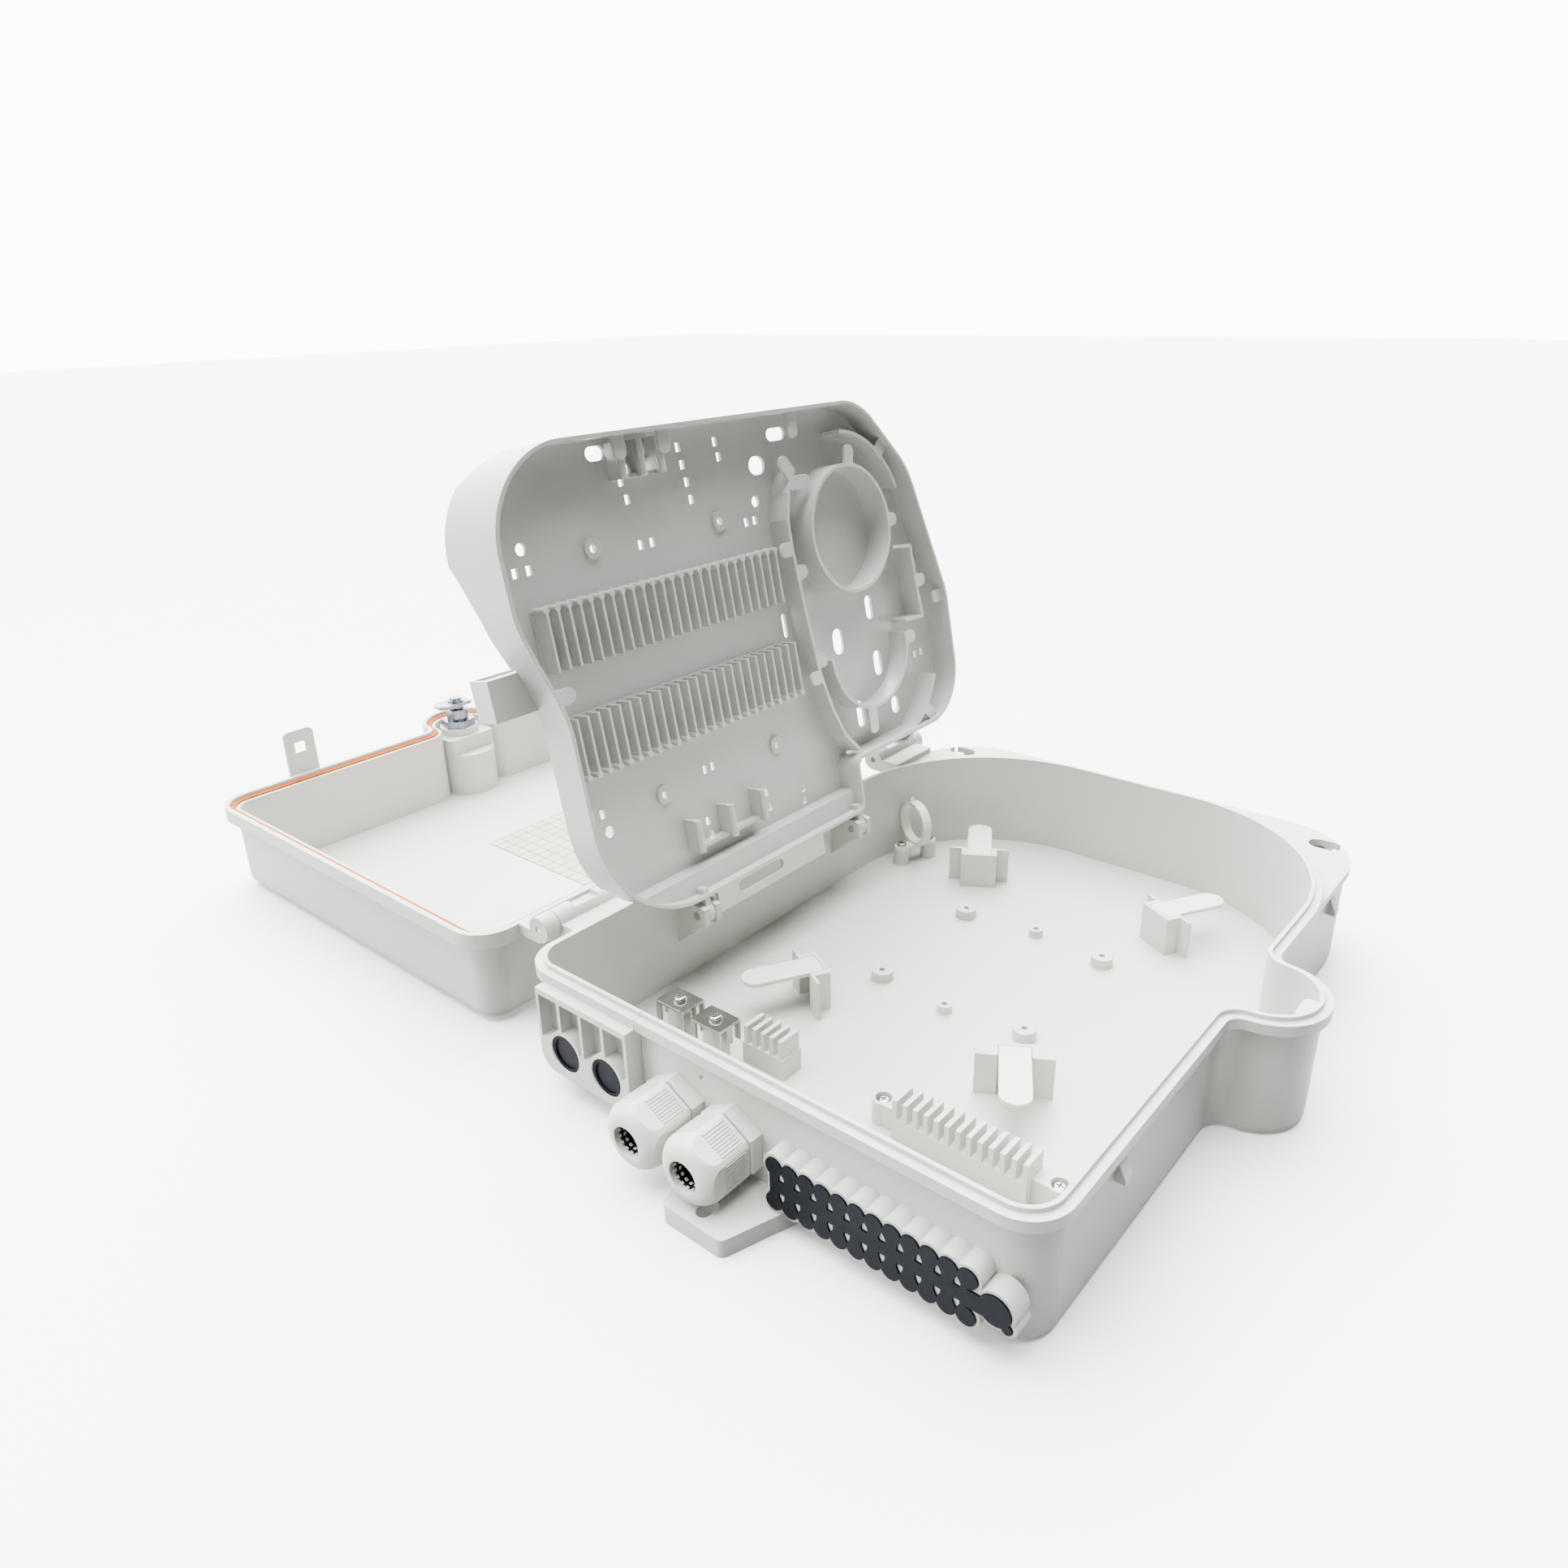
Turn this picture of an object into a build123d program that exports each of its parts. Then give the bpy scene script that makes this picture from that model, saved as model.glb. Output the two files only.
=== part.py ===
from build123d import *
from math import atan2, cos, degrees, hypot, radians, sin
import os

# Wall box for fibre drop cables: moulded base, hinged cover, swing-up splice tray and cam lock.
# Millimetres. +X runs from the hinge side to the lock side, +Y from the cable entries to the
# rounded end, +Z out of the wall. The origin is the centre of the base's back face. The parts
# stand as in use on the bench: cover swung fully open, tray swung up, lock turned free.

os.makedirs("parts", exist_ok=True)

# Cavity plan: straight sides, a flat far end between two large arcs, and a bump for the lock.
HALF_W = 134.5          # centre to inner side wall
ENTRY_Y = -186.5        # inner face of the cable entry wall
ARC_R = 98.5            # large corner arcs at the far end
ARC_Y = 81.0            # height of the arcs' centres
ENTRY_R = 14.0          # inner corners beside the entry wall
BUMP_X = 145.0          # centre of the lock bump's round end
BUMP_R = 22.0           # its inner radius
BUMP_BLEND = 13.0       # concave blend where the bump leaves the side wall

# Base section.
WALL = 2.5
FLOOR = 2.5
BASE_H = 63.0           # top of the raised ridge
LEDGE_Z = 61.0          # top of the outer ledge
LIP_LOW = 55.5          # underside of the ledge
RIDGE_T = 2.0
LIP_OUT = 6.0           # ledge edge, outward from the cavity
BOTTOM_R = 4.0
EAR_R = 46.0            # corners of the outer wall at the far end
EAR_TOP = 58.0
EAR_T = 4.0
EAR_OVER = 2.0          # ear plate beyond the outer wall
EAR_END = 190.0         # outer wall at the far end

# Wall fixings.
EAR_HOLE = (119.5, 172.0)
EAR_SLOT_L = 18.0
EAR_SLOT_W = 11.5
FOOT_X = 2.5
FOOT_FRONT = -225.0
FOOT_HALF_FRONT = 16.5
FOOT_HALF_BACK = 29.0
FOOT_H = 9.0
FOOT_SLOT_Y = -215.0
FOOT_SLOT_L = 11.0
FOOT_SLOT_W = 6.5

# Cover section, given for the closed cover.
COVER_GAP = 0.3         # rim of the cover over the ledge
COVER_DEPTH = 56.0      # rim to front face
BAND_H = 8.7
BAND_T = 3.0
COVER_T = 2.5
COVER_IN = 0.5          # clearance from ridge to the cover's wall
CHANNEL_H = 5.2
COVER_R = 7.0
PAD_H = 1.5
INNER_SET = 3.0         # inner wall set back behind the cover's rim

# Hinges.
HINGE_X = -156.5
HINGE_Z = 59.5
BARREL_R = 7.0
BARREL_Y0 = 118.0       # inner end of each barrel
BARREL_L = 40.0
KNUCKLE_L = 9.0
KNUCKLE_GAP = 0.4
PIN_R = 2.0
PIN_FIT = 0.05

# Tray: u runs from its hinge to its free edge, w out of its back when closed.
TRAY_X = -119.3
TRAY_Z = 47.0
TRAY_RIM_W = 5.0         # hinge line behind the rim's front edge
TRAY_UP = 101.0         # degrees it stands up from closed
TRAY_T = 2.0
TRAY_PANEL_W = 16.0
TRAY_SKIRT_W = 40.0
TRAY_FREE_U = 249.5
TRAY_ROOT_U = 20.5      # where the deep panel ends
TRAY_SHELF_W = 6.0
SKIRT_U = 32.0
BRACKETS = (-86.0, 50.0)
BRACKET_T = 4.0
TRAY_PIN_R = 2.4

# Splice holders on the tray.
FIN_N = 25
FIN_PITCH = 6.75
FIN_T = 1.3
FIN_H = 11.0
FIN_LEN = 29.5
ROWS = ((146.0, -144.5), (93.0, -141.0))
HOLDER_T = 1.6

# Mandrel and guide walls on the tray.
MANDREL = (177.0, 83.0)
MANDREL_R = 37.7
GUIDE_T = 2.0
GUIDE_H = 13.0
U_GUIDE = (105.0, 88.0)
U_GUIDE_R = 38.0
DIVIDER = ((215, 40), (204, 34), (190, 30), (171, 30), (134, 33), (99, 37), (76, 43), (58, 51), (46, 62))
STRAIGHT = ((159, 125), (157, 143), (111, 146), (112, 128))

# Cable entries.
PANEL_X = (-122.0, -60.0)
PANEL_Z = (12.0, 56.5)
PANEL_OUT = 9.0
PANEL_GAP = 0.25
PLUG_X = (-104.0, -75.8)
PLUG_Z = 26.0
PLUG_R = 9.6
PLUG_FIT = 0.1
GLAND_X = (-37.0, -4.0)
GLAND_Z = 26.0
GLAND_AF = 29.0
GLAND_HEX_T = 7.0
GLAND_BODY_R = 10.0
GLAND_BORE_R = 6.2
GLAND_MOUTH_R = 7.4
GLAND_THREAD_R = 11.0
GLAND_NUT_R = 14.5
GLAND_NUT_L = 24.5
PORT_N = 12
PORT_X = 24.9
PORT_PITCH = 8.15
PORT_ROWS = (14.5, 32.0)
PORT_R = 4.2
BIG_PORT = (125.8, 24.4)
BIG_PORT_R = 6.6
COLLAR_T = 1.5
COLLAR_OUT = 9.5
SEAL_FIT = 0.1
SEAL_BACK = 0.6         # seal's back face, inward from the outer wall face
VENT = (-23.0, 46.0, 1.6)

# Inside the base.
CLIP_MID = (-3.0, 20.0)
CLIP_X = 57.5
CLIP_Y = 79.0
CLIP_H = 25.0
CLIP_W = 22.0
TONGUE_W = 15.0
TONGUE_L = 45.0
TONGUE_T = 2.0
BOSS_R = 6.0
COMB_TOP = 24.0
COMB_SLOT_Z = 14.0
COMB_PITCH = 5.4
COMB_FIN = 2.4
COMB_D = 13.0
COMB12_X = 66.0
COMB12_Y = -121.0
COMB_EAR_X = 44.0
COMB5_X = -44.5
COMB5_Y = -119.8
CLAMPS = ((-83.0, -142.5), (-58.5, -143.5))
CLAMP_Z = 36.0
CLAMP_X = 19.0
CLAMP_Y = 14.5
CLAMP_T = 1.2
CLAMP_LEG = 11.0
RING_MID = (-114.0, 107.5)
RING_TURN = 67.0
RING_R = 14.5
RING_Z = 13.0

# Cam lock on the cover, given for the closed cover.
LOCK_X = 148.0
LOCK_BOSS_Z = 66.5
PILLAR_X = 141.0        # pillar that fills the bump below the lock
PILLAR_R = 20.0
TRAY_CLEAR = 1.2         # pillar's step clears the folded tray by this
LOCK_NUT_T = 7.0
LOCK_AF = 22.0
LOCK_BARREL_R = 8.0
CAM_Z = 47.5
CAM_T = 2.5
CAM_L = 17.0
CAM_W = 15.0
KEEPER_Z = 52.0
TAB_Y = 128.0
TAB_W = 21.0
TAB_DROP = 30.0
TAB_T = 2.2
TAB_FIT = 0.5
HOOK_LOW = 40.5
HOOK_TOP = 52.0
HOOK_OUT = 141.0

OUTER_W = HALF_W + WALL
LIP_W = HALF_W + LIP_OUT
ENTRY_OUT = ENTRY_Y - WALL
COVER_RIM = LEDGE_Z + COVER_GAP
COVER_FRONT = COVER_RIM + COVER_DEPTH
BIG = 600.0


def box(x0, x1, y0, y1, z0, z1):
    """A block between two corners."""
    size = (x1 - x0, y1 - y0, z1 - z0)
    return Pos((x0 + x1) / 2, (y0 + y1) / 2, (z0 + z1) / 2) * Box(*size)


def rod(radius, length, at, along="z"):
    """A round rod that starts at a point and runs along an axis."""
    solid = Cylinder(radius, length, align=(Align.CENTER, Align.CENTER, Align.MIN))
    turn = {"x": Rot(0, 90, 0), "y": Rot(-90, 0, 0), "z": Rot(0, 0, 0)}[along]
    return Pos(*at) * turn * solid


def slab(face, low, high):
    """A flat face in the XY plane made into a plate between two heights."""
    return extrude(Pos(0, 0, low) * face, amount=high - low, dir=(0, 0, 1))


def arc(x, y, radius, start, end):
    """Part of a circle about a point, between two headings in degrees."""
    points = []
    for turn in (start, (start + end) / 2, end):
        points.append((x + radius * cos(radians(turn)), y + radius * sin(radians(turn))))
    return ThreePointArc(*points)


def bump_side(grow, low, high):
    """The lock side's outline from low to high, with the bump blended into it."""
    half = HALF_W + grow
    radius = BUMP_R + grow
    blend = BUMP_BLEND - grow
    blend_x = HALF_W + BUMP_BLEND
    reach = BUMP_R + BUMP_BLEND
    blend_y = (reach ** 2 - (blend_x - BUMP_X) ** 2) ** 0.5
    lean = degrees(atan2(blend_y, blend_x - BUMP_X))
    return [
        Line((half, low), (half, -blend_y)),
        arc(blend_x, -blend_y, blend, 180, 180 - lean),
        arc(BUMP_X, 0, radius, -lean, lean),
        arc(blend_x, blend_y, blend, 180 + lean, 180),
        Line((half, blend_y), (half, high)),
    ]


def box_plan(grow, low, low_r, high, high_r):
    """Outline of the box: entry corners, lock bump and far corners."""
    half = HALF_W + grow
    side = bump_side(grow, low + low_r, high - high_r)
    edges = [Line((low_r - half, low), (half - low_r, low))]
    edges.append(arc(half - low_r, low + low_r, low_r, -90, 0))
    edges += side
    edges.append(arc(half - high_r, high - high_r, high_r, 0, 90))
    edges.append(Line((half - high_r, high), (high_r - half, high)))
    edges.append(arc(high_r - half, high - high_r, high_r, 90, 180))
    edges.append(Line((-half, high - high_r), (-half, low + low_r)))
    edges.append(arc(low_r - half, low + low_r, low_r, 180, 270))
    return make_face(edges)


def cavity(grow):
    """The box's plan, grown outward from the cavity."""
    radius = ARC_R + grow
    return box_plan(grow, ENTRY_Y - grow, ENTRY_R + grow, ARC_Y + radius, radius)


def outer(grow):
    """The outer wall's plan, with square shoulders at the far end."""
    grown = WALL + grow
    return box_plan(grown, ENTRY_Y - grown, ENTRY_R + grown, EAR_END + grow, EAR_R + grow)


def port_plan(grow):
    """Outline of the drop ports: two rows of discs, the band between them and the large port."""
    plan = None
    for i in range(PORT_N):
        x = PORT_X + i * PORT_PITCH
        for z in PORT_ROWS:
            disc = Pos(x, z) * Circle(PORT_R + grow)
            plan = disc if plan is None else plan + disc
    first = PORT_X - 2.0 - grow
    last = PORT_X + (PORT_N - 1) * PORT_PITCH
    middle = sum(PORT_ROWS) / 2
    plan += Pos((first + last) / 2, middle) * Rectangle(last - first, PORT_ROWS[1] - PORT_ROWS[0])
    plan += Pos((last + BIG_PORT[0]) / 2, middle) * Rectangle(BIG_PORT[0] - last, 8.0 + 2 * grow)
    plan += Pos(*BIG_PORT) * Circle(BIG_PORT_R + grow)
    plan += Pos(BIG_PORT[0] + 5.2, BIG_PORT[1] - 5.2) * Circle(2.2 + grow)
    return plan


def port_islands(shrink=0.0):
    """Small wedges of the collar left standing between neighbouring ports."""
    middle = sum(PORT_ROWS) / 2
    half = 1.5 - shrink
    wedges = None
    for i in range(PORT_N - 1):
        x = PORT_X + (i + 0.5) * PORT_PITCH
        for side in (-1, 1):
            steps = [(half, 3.0 + shrink), (half, 5.0), (0, 7.7 - 2 * shrink), (-half, 5.0), (-half, 3.0 + shrink)]
            points = [(x + dx, middle + side * dz) for dx, dz in steps]
            wedge = make_face(Polyline(*points, close=True))
            wedges = wedge if wedges is None else wedges + wedge
    return wedges

def on_entry(face, y0, y1):
    """A plan drawn in x and z, made into a plate between two depths in y."""
    plate = extrude(face, amount=y1 - y0)
    return Pos(0, y1, 0) * Rot(90, 0, 0) * plate


def clip_places():
    """Centre and heading of the four fibre clips, which point outward from the middle."""
    for sx in (-1, 1):
        for sy in (-1, 1):
            heading = {(1, 1): 60, (-1, 1): 120, (-1, -1): 240, (1, -1): 300}[(sx, sy)]
            yield Pos(CLIP_MID[0] + sx * CLIP_X, CLIP_MID[1] + sy * CLIP_Y) * Rot(0, 0, heading)


def clip_socket():
    """Socket for one clip: a U of walls with a wing each side, its front face at x = 0."""
    wall = 1.8
    depth = 10.5
    solid = box(0, depth, -CLIP_W / 2, CLIP_W / 2, FLOOR - 0.5, CLIP_H)
    pocket = TONGUE_W / 2 + 0.3
    solid -= box(wall, depth + 1, -pocket, pocket, FLOOR, CLIP_H + 1)
    for side in (-1, 1):
        y0 = side * (CLIP_W / 2 - 1)
        y1 = side * (CLIP_W / 2 + 7.5)
        solid += box(depth - 1.8, depth, min(y0, y1), max(y0, y1), FLOOR - 0.5, CLIP_H)
    return solid


def clip_tongue():
    """Flexible tongue pushed into a socket: an upright root and a long round-ended finger."""
    root_x = 2.1
    finger = Pos((root_x + TONGUE_L) / 2, 0) * Rectangle(TONGUE_L - root_x, TONGUE_W)
    finger = fillet([v for v in finger.vertices() if v.X > TONGUE_L - 1], TONGUE_W / 2 - 0.2)
    solid = slab(finger, CLIP_H - TONGUE_T, CLIP_H)
    solid += box(root_x, root_x + 2.2, -TONGUE_W / 2, TONGUE_W / 2, FLOOR, CLIP_H)
    return solid


def base_shell():
    """The moulded base before the entry panel's notch is taken out."""
    shell = slab(outer(0), 0, EAR_TOP)
    shell = fillet(shell.edges().group_by(Axis.Z)[0], BOTTOM_R)
    shell += slab(outer(EAR_OVER), EAR_TOP - EAR_T, EAR_TOP)
    shell += slab(cavity(LIP_OUT), LIP_LOW, LEDGE_Z)
    shell += slab(cavity(RIDGE_T), LIP_LOW, BASE_H)
    shell -= slab(cavity(0), FLOOR, BASE_H + 1)
    back = outer(-WALL) & (Pos(0, 150) * Rectangle(BIG, 160))
    back -= cavity(WALL)
    shell -= slab(back, -1, EAR_TOP - EAR_T)
    for side in (-1, 1):
        slot = Pos(side * EAR_HOLE[0], EAR_HOLE[1]) * SlotOverall(EAR_SLOT_L, EAR_SLOT_W)
        shell -= slab(slot, EAR_TOP - EAR_T - 1, EAR_TOP + 1)
    return shell


def base_foot():
    """Tapered lower fixing lug with its upright slot."""
    wall = ENTRY_OUT + 1.0
    pts = [
        (FOOT_X - FOOT_HALF_FRONT, FOOT_FRONT),
        (FOOT_X + FOOT_HALF_FRONT, FOOT_FRONT),
        (FOOT_X + FOOT_HALF_BACK, wall),
        (FOOT_X - FOOT_HALF_BACK, wall),
    ]
    plan = make_face(Polyline(*pts, close=True))
    plan = fillet([v for v in plan.vertices() if v.Y < FOOT_FRONT + 1], 4)
    lug = slab(plan, 0, FOOT_H)
    slot = Pos(FOOT_X, FOOT_SLOT_Y) * Rot(0, 0, 90) * SlotOverall(FOOT_SLOT_L, FOOT_SLOT_W)
    return lug - slab(slot, -1, FOOT_H + 1)


def base_bosses():
    """Screw bosses on the floor for an adapter frame."""
    spots = [(sx * 44.0, sy * 43.5, BOSS_R, 6.0) for sx in (-1, 1) for sy in (-1, 1)]
    spots += [(0.0, sy * 49.0, 4.0, 5.0) for sy in (-1, 1)]
    bosses = None
    for dx, dy, radius, height in spots:
        x, y = CLIP_MID[0] + dx, CLIP_MID[1] + dy
        boss = rod(radius, height, (x, y, FLOOR - 0.5)) - rod(1.6, height, (x, y, FLOOR + 1))
        bosses = boss if bosses is None else bosses + boss
    return bosses


def base_barrels():
    """Two hinge barrels standing off the hinge side, each with a moulding notch."""
    barrels = None
    for side in (-1, 1):
        y0 = min(side * BARREL_Y0, side * (BARREL_Y0 + BARREL_L))
        solid = rod(BARREL_R, BARREL_L, (HINGE_X, y0, HINGE_Z), "y")
        web = box(HINGE_X, -OUTER_W + 0.5, y0, y0 + BARREL_L, HINGE_Z - BARREL_R, LEDGE_Z)
        solid += web
        solid -= rod(PIN_R + 0.01, BARREL_L + 2, (HINGE_X, y0 - 1, HINGE_Z), "y")
        mid = y0 + BARREL_L / 2
        solid -= box(HINGE_X - 4, HINGE_X + 4, mid - 8, mid + 8, HINGE_Z + 4.5, HINGE_Z + 20)
        barrels = solid if barrels is None else barrels + solid
    return barrels


def base_hooks():
    """Wedges on the lock side that the cover's snap tabs drop over."""
    hooks = None
    root = OUTER_W - 0.5
    points = [(root, HOOK_TOP), (HOOK_OUT, HOOK_LOW + 2), (HOOK_OUT, HOOK_LOW), (root, HOOK_LOW)]
    for side in (-1, 1):
        face = make_face(Polyline(*points, close=True))
        wedge = on_entry(face, side * TAB_Y - 3.2, side * TAB_Y + 3.2)
        hooks = wedge if hooks is None else hooks + wedge
    return hooks

def base_keeper():
    """Rounded lug at the end of the bump that the cam turns under."""
    end = BUMP_X + BUMP_R
    plan = Pos(end - 3.2, 0) * Rectangle(8, 16)
    plan = fillet([v for v in plan.vertices() if v.X < end - 4], 3)
    lug = slab(plan, KEEPER_Z, KEEPER_Z + 7)
    return lug & slab(cavity(1), 0, BASE_H)


def tray_posts():
    """Plates on the hinge side wall that carry the tray's hinge pins."""
    plates = None
    wall = -HALF_W - 0.5
    points = [(wall, TRAY_Z - 22), (TRAY_X - 1, TRAY_Z - 8), (TRAY_X + 6, TRAY_Z - 5)]
    points += [(TRAY_X + 6, TRAY_Z + 5), (wall, TRAY_Z + 8)]
    for y in BRACKETS:
        for side in (-1, 1):
            mid = y + side * (BRACKET_T / 2 + 2.4)
            plate = on_entry(make_face(Polyline(*points, close=True)), mid - 1.9, mid + 1.9)
            plate -= rod(TRAY_PIN_R + 0.01, 8, (TRAY_X, mid - 4, TRAY_Z), "y")
            plates = plate if plates is None else plates + plate
    return plates

def entry_collars():
    """Scalloped collar around the drop ports."""
    return on_entry(port_plan(COLLAR_T), ENTRY_OUT - COLLAR_OUT, ENTRY_OUT + 0.5)


def panel_zone(gap):
    """The notch in the entry wall and rim that the side panel fills."""
    return box(PANEL_X[0] + gap, PANEL_X[1] - gap, -230, ENTRY_Y + 6, PANEL_Z[0] + gap, BASE_H + 5)


def make_base():
    """Base with everything that is moulded in one piece with it."""
    shell = base_shell()
    panel_wall = shell & panel_zone(PANEL_GAP)
    base = shell - panel_zone(0)
    base += base_foot()
    base += base_barrels() - slab(cavity(0), 0, BASE_H)
    base += base_hooks()
    base += base_keeper()
    base += entry_collars()
    base += base_bosses()
    base += tray_posts()
    for place in clip_places():
        base += place * clip_socket()
    pocket = port_plan(SEAL_FIT) - port_islands(SEAL_FIT)
    base -= on_entry(pocket, ENTRY_OUT - COLLAR_OUT - 1, ENTRY_OUT + SEAL_BACK + SEAL_FIT)
    ways = [(PORT_X + i * PORT_PITCH, z, 2.6) for i in range(PORT_N) for z in PORT_ROWS]
    for way_x, way_z, way_r in ways + [(*BIG_PORT, 4.5)]:
        base -= rod(way_r, 4, (way_x, ENTRY_OUT, way_z), "y")
    for x in GLAND_X:
        base -= rod(GLAND_BODY_R + 0.1, 12, (x, ENTRY_OUT - 4, GLAND_Z), "y")
    vent_x, vent_z, vent_r = VENT
    base -= rod(vent_r, 12, (vent_x, ENTRY_OUT - 6, vent_z), "y")
    base += comb5_block()
    for x, y in CLAMPS:
        base += clamp_post(x, y)
    for sx, sy in ring_ends():
        boss = rod(5.0, RING_Z - FLOOR, (sx, sy, FLOOR - 0.5)) - rod(1.3, 9, (sx, sy, FLOOR + 1.5))
        base += boss
    return base, panel_wall


def make_port_panel(wall):
    """Side panel with its own piece of rim, four pockets and two plug holes."""
    low, high = PANEL_Z
    x0 = PANEL_X[0] + PANEL_GAP
    x1 = PANEL_X[1] - PANEL_GAP
    front = ENTRY_OUT - PANEL_OUT
    plan = Pos((x0 + x1) / 2, (low + high) / 2) * Rectangle(x1 - x0, high - low - 2 * PANEL_GAP)
    plan = fillet([v for v in plan.vertices() if v.Y < 30], 9)
    body = on_entry(plan, front, ENTRY_OUT + 1)
    rib = 1.8
    width = (x1 - x0 - 5 * rib) / 4
    for i in range(4):
        left = x0 + rib + i * (width + rib)
        body -= box(left, left + width, front - 1, front + 7.0, 30.0, high - 3.5)
    for x in PLUG_X:
        body += rod(PLUG_R + 2.0, PANEL_OUT, (x, front, PLUG_Z), "y")
    panel = wall + body
    for x in PLUG_X:
        panel -= rod(PLUG_R + PLUG_FIT, PANEL_OUT + 8, (x, front - 1, PLUG_Z), "y")
    return panel


def make_plug(x):
    """Rubber plug: a cupped face in the panel's hole and a thin flange inside."""
    front = ENTRY_OUT - PANEL_OUT + 0.8
    solid = rod(PLUG_R, ENTRY_Y - front + 0.5, (x, front, PLUG_Z), "y")
    solid += rod(PLUG_R + 1.6, 1.5, (x, ENTRY_Y, PLUG_Z), "y")
    solid -= rod(PLUG_R - 1.6, 0.8, (x, front, PLUG_Z), "y")
    return solid


def hex_plate(across_flats, thick, at, turn=0):
    """A hexagon plate lying across Y, with a point up."""
    plan = Rot(0, 0, 30 + turn) * RegularPolygon(across_flats / 2, 6, major_radius=False)
    plate = Rot(90, 0, 0) * extrude(plan, amount=thick)
    return Pos(at[0], at[1] + thick, at[2]) * plate


def make_gland_body(x):
    """Gland body: hexagon flange on the wall, a thread through it and a thread for the nut."""
    front = ENTRY_OUT - GLAND_HEX_T
    solid = hex_plate(GLAND_AF, GLAND_HEX_T, (x, front, GLAND_Z))
    solid = chamfer(solid.edges().filter_by(Axis.Y, reverse=True).group_by(Axis.Y)[0], 0.8)
    solid += rod(GLAND_BODY_R, 14, (x, ENTRY_OUT - 1, GLAND_Z), "y")
    solid += rod(GLAND_THREAD_R, 11, (x, front - 10, GLAND_Z), "y")
    return solid - rod(GLAND_BORE_R + 0.6, 60, (x, front - 30, GLAND_Z), "y")


def make_gland_nut(x):
    """Domed sealing nut: hexagon with fine ribs on its flats, rounded nose and a mouth."""
    root = ENTRY_OUT - GLAND_HEX_T - 1.2
    nose = root - GLAND_NUT_L
    dome = rod(GLAND_NUT_R + 1.6, GLAND_NUT_L, (x, nose, GLAND_Z), "y")
    dome = fillet(dome.edges().group_by(Axis.Y)[0], 8.0)
    solid = hex_plate(2 * GLAND_NUT_R, GLAND_NUT_L, (x, nose, GLAND_Z)) & dome
    rib = box(GLAND_NUT_R - 0.4, GLAND_NUT_R + 0.35, root - 14, root - 2, -0.4, 0.4)
    for i in range(6):
        for j in range(-4, 5):
            solid += Pos(x, 0, GLAND_Z) * Rot(0, 60 * i, 0) * Pos(0, 0, 1.45 * j) * rib
    solid -= rod(GLAND_THREAD_R + 0.2, GLAND_NUT_L, (x, nose + 3.0, GLAND_Z), "y")
    return solid - rod(GLAND_MOUTH_R, 20, (x, nose - 5, GLAND_Z), "y")

def make_gland_seal(x):
    """Rubber sleeve gripped by the nut, open for the cable."""
    nose = ENTRY_OUT - GLAND_HEX_T - 1.2 - GLAND_NUT_L
    solid = rod(GLAND_THREAD_R, GLAND_NUT_L - 12.3, (x, nose + 3.1, GLAND_Z), "y")
    return solid - rod(GLAND_BORE_R, 30, (x, nose - 2, GLAND_Z), "y")

def make_locknut(x):
    """Nylon nut that holds a gland from inside the wall."""
    solid = hex_plate(27.0, 5.0, (x, ENTRY_Y, GLAND_Z))
    return solid - rod(GLAND_BODY_R + 0.1, 20, (x, ENTRY_Y - 5, GLAND_Z), "y")


def make_port_seal():
    """One rubber moulding that closes every drop port."""
    plan = port_plan(0) - port_islands(0)
    return on_entry(plan, ENTRY_OUT - COLLAR_OUT - 0.8, ENTRY_OUT + SEAL_BACK)

def comb_fins(mid_x, mid_y, count):
    """Block with upright fins and cable slots between them."""
    half = ((count - 1) * COMB_PITCH + COMB_FIN) / 2
    low_y, high_y = mid_y - COMB_D / 2, mid_y + COMB_D / 2
    solid = box(mid_x - half, mid_x + half, low_y, high_y, FLOOR, COMB_TOP)
    for i in range(count - 1):
        x = mid_x - half + COMB_FIN + i * COMB_PITCH
        solid -= box(x, x + COMB_PITCH - COMB_FIN, low_y - 1, high_y + 1, COMB_SLOT_Z, COMB_TOP + 1)
    return solid


def comb5_block():
    """Small comb moulded with the base."""
    solid = comb_fins(COMB5_X, COMB5_Y, 5)
    return solid + box(COMB5_X - 13, COMB5_X + 13, COMB5_Y - 6.8, COMB5_Y + 6.8, FLOOR - 0.5, COMB_SLOT_Z)

def make_drop_comb():
    """Comb that grips the drop cables, with a screw pocket at each end."""
    solid = comb_fins(COMB12_X, COMB12_Y, PORT_N + 1)
    ear_z = 12.0
    for side in (-1, 1):
        x = COMB12_X + side * COMB_EAR_X
        plan = Pos(x - side * 6, COMB12_Y + 2) * Rectangle(14, 9.5)
        plan += Pos(x, COMB12_Y + 2) * Circle(5.4)
        solid += slab(plan, FLOOR, ear_z + 3)
        solid -= rod(3.9, 10, (x, COMB12_Y + 2, ear_z))
        solid -= rod(1.5, 20, (x, COMB12_Y + 2, FLOOR - 1))
    return solid


def clamp_post(x, y):
    """Round post with a flat top that a clamp plate is screwed to."""
    post = rod(6.4, CLAMP_Z - CLAMP_T - FLOOR + 0.5, (x, y, FLOOR - 0.5))
    return post - rod(1.4, 14, (x, y, CLAMP_Z - CLAMP_T - 12))


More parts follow.
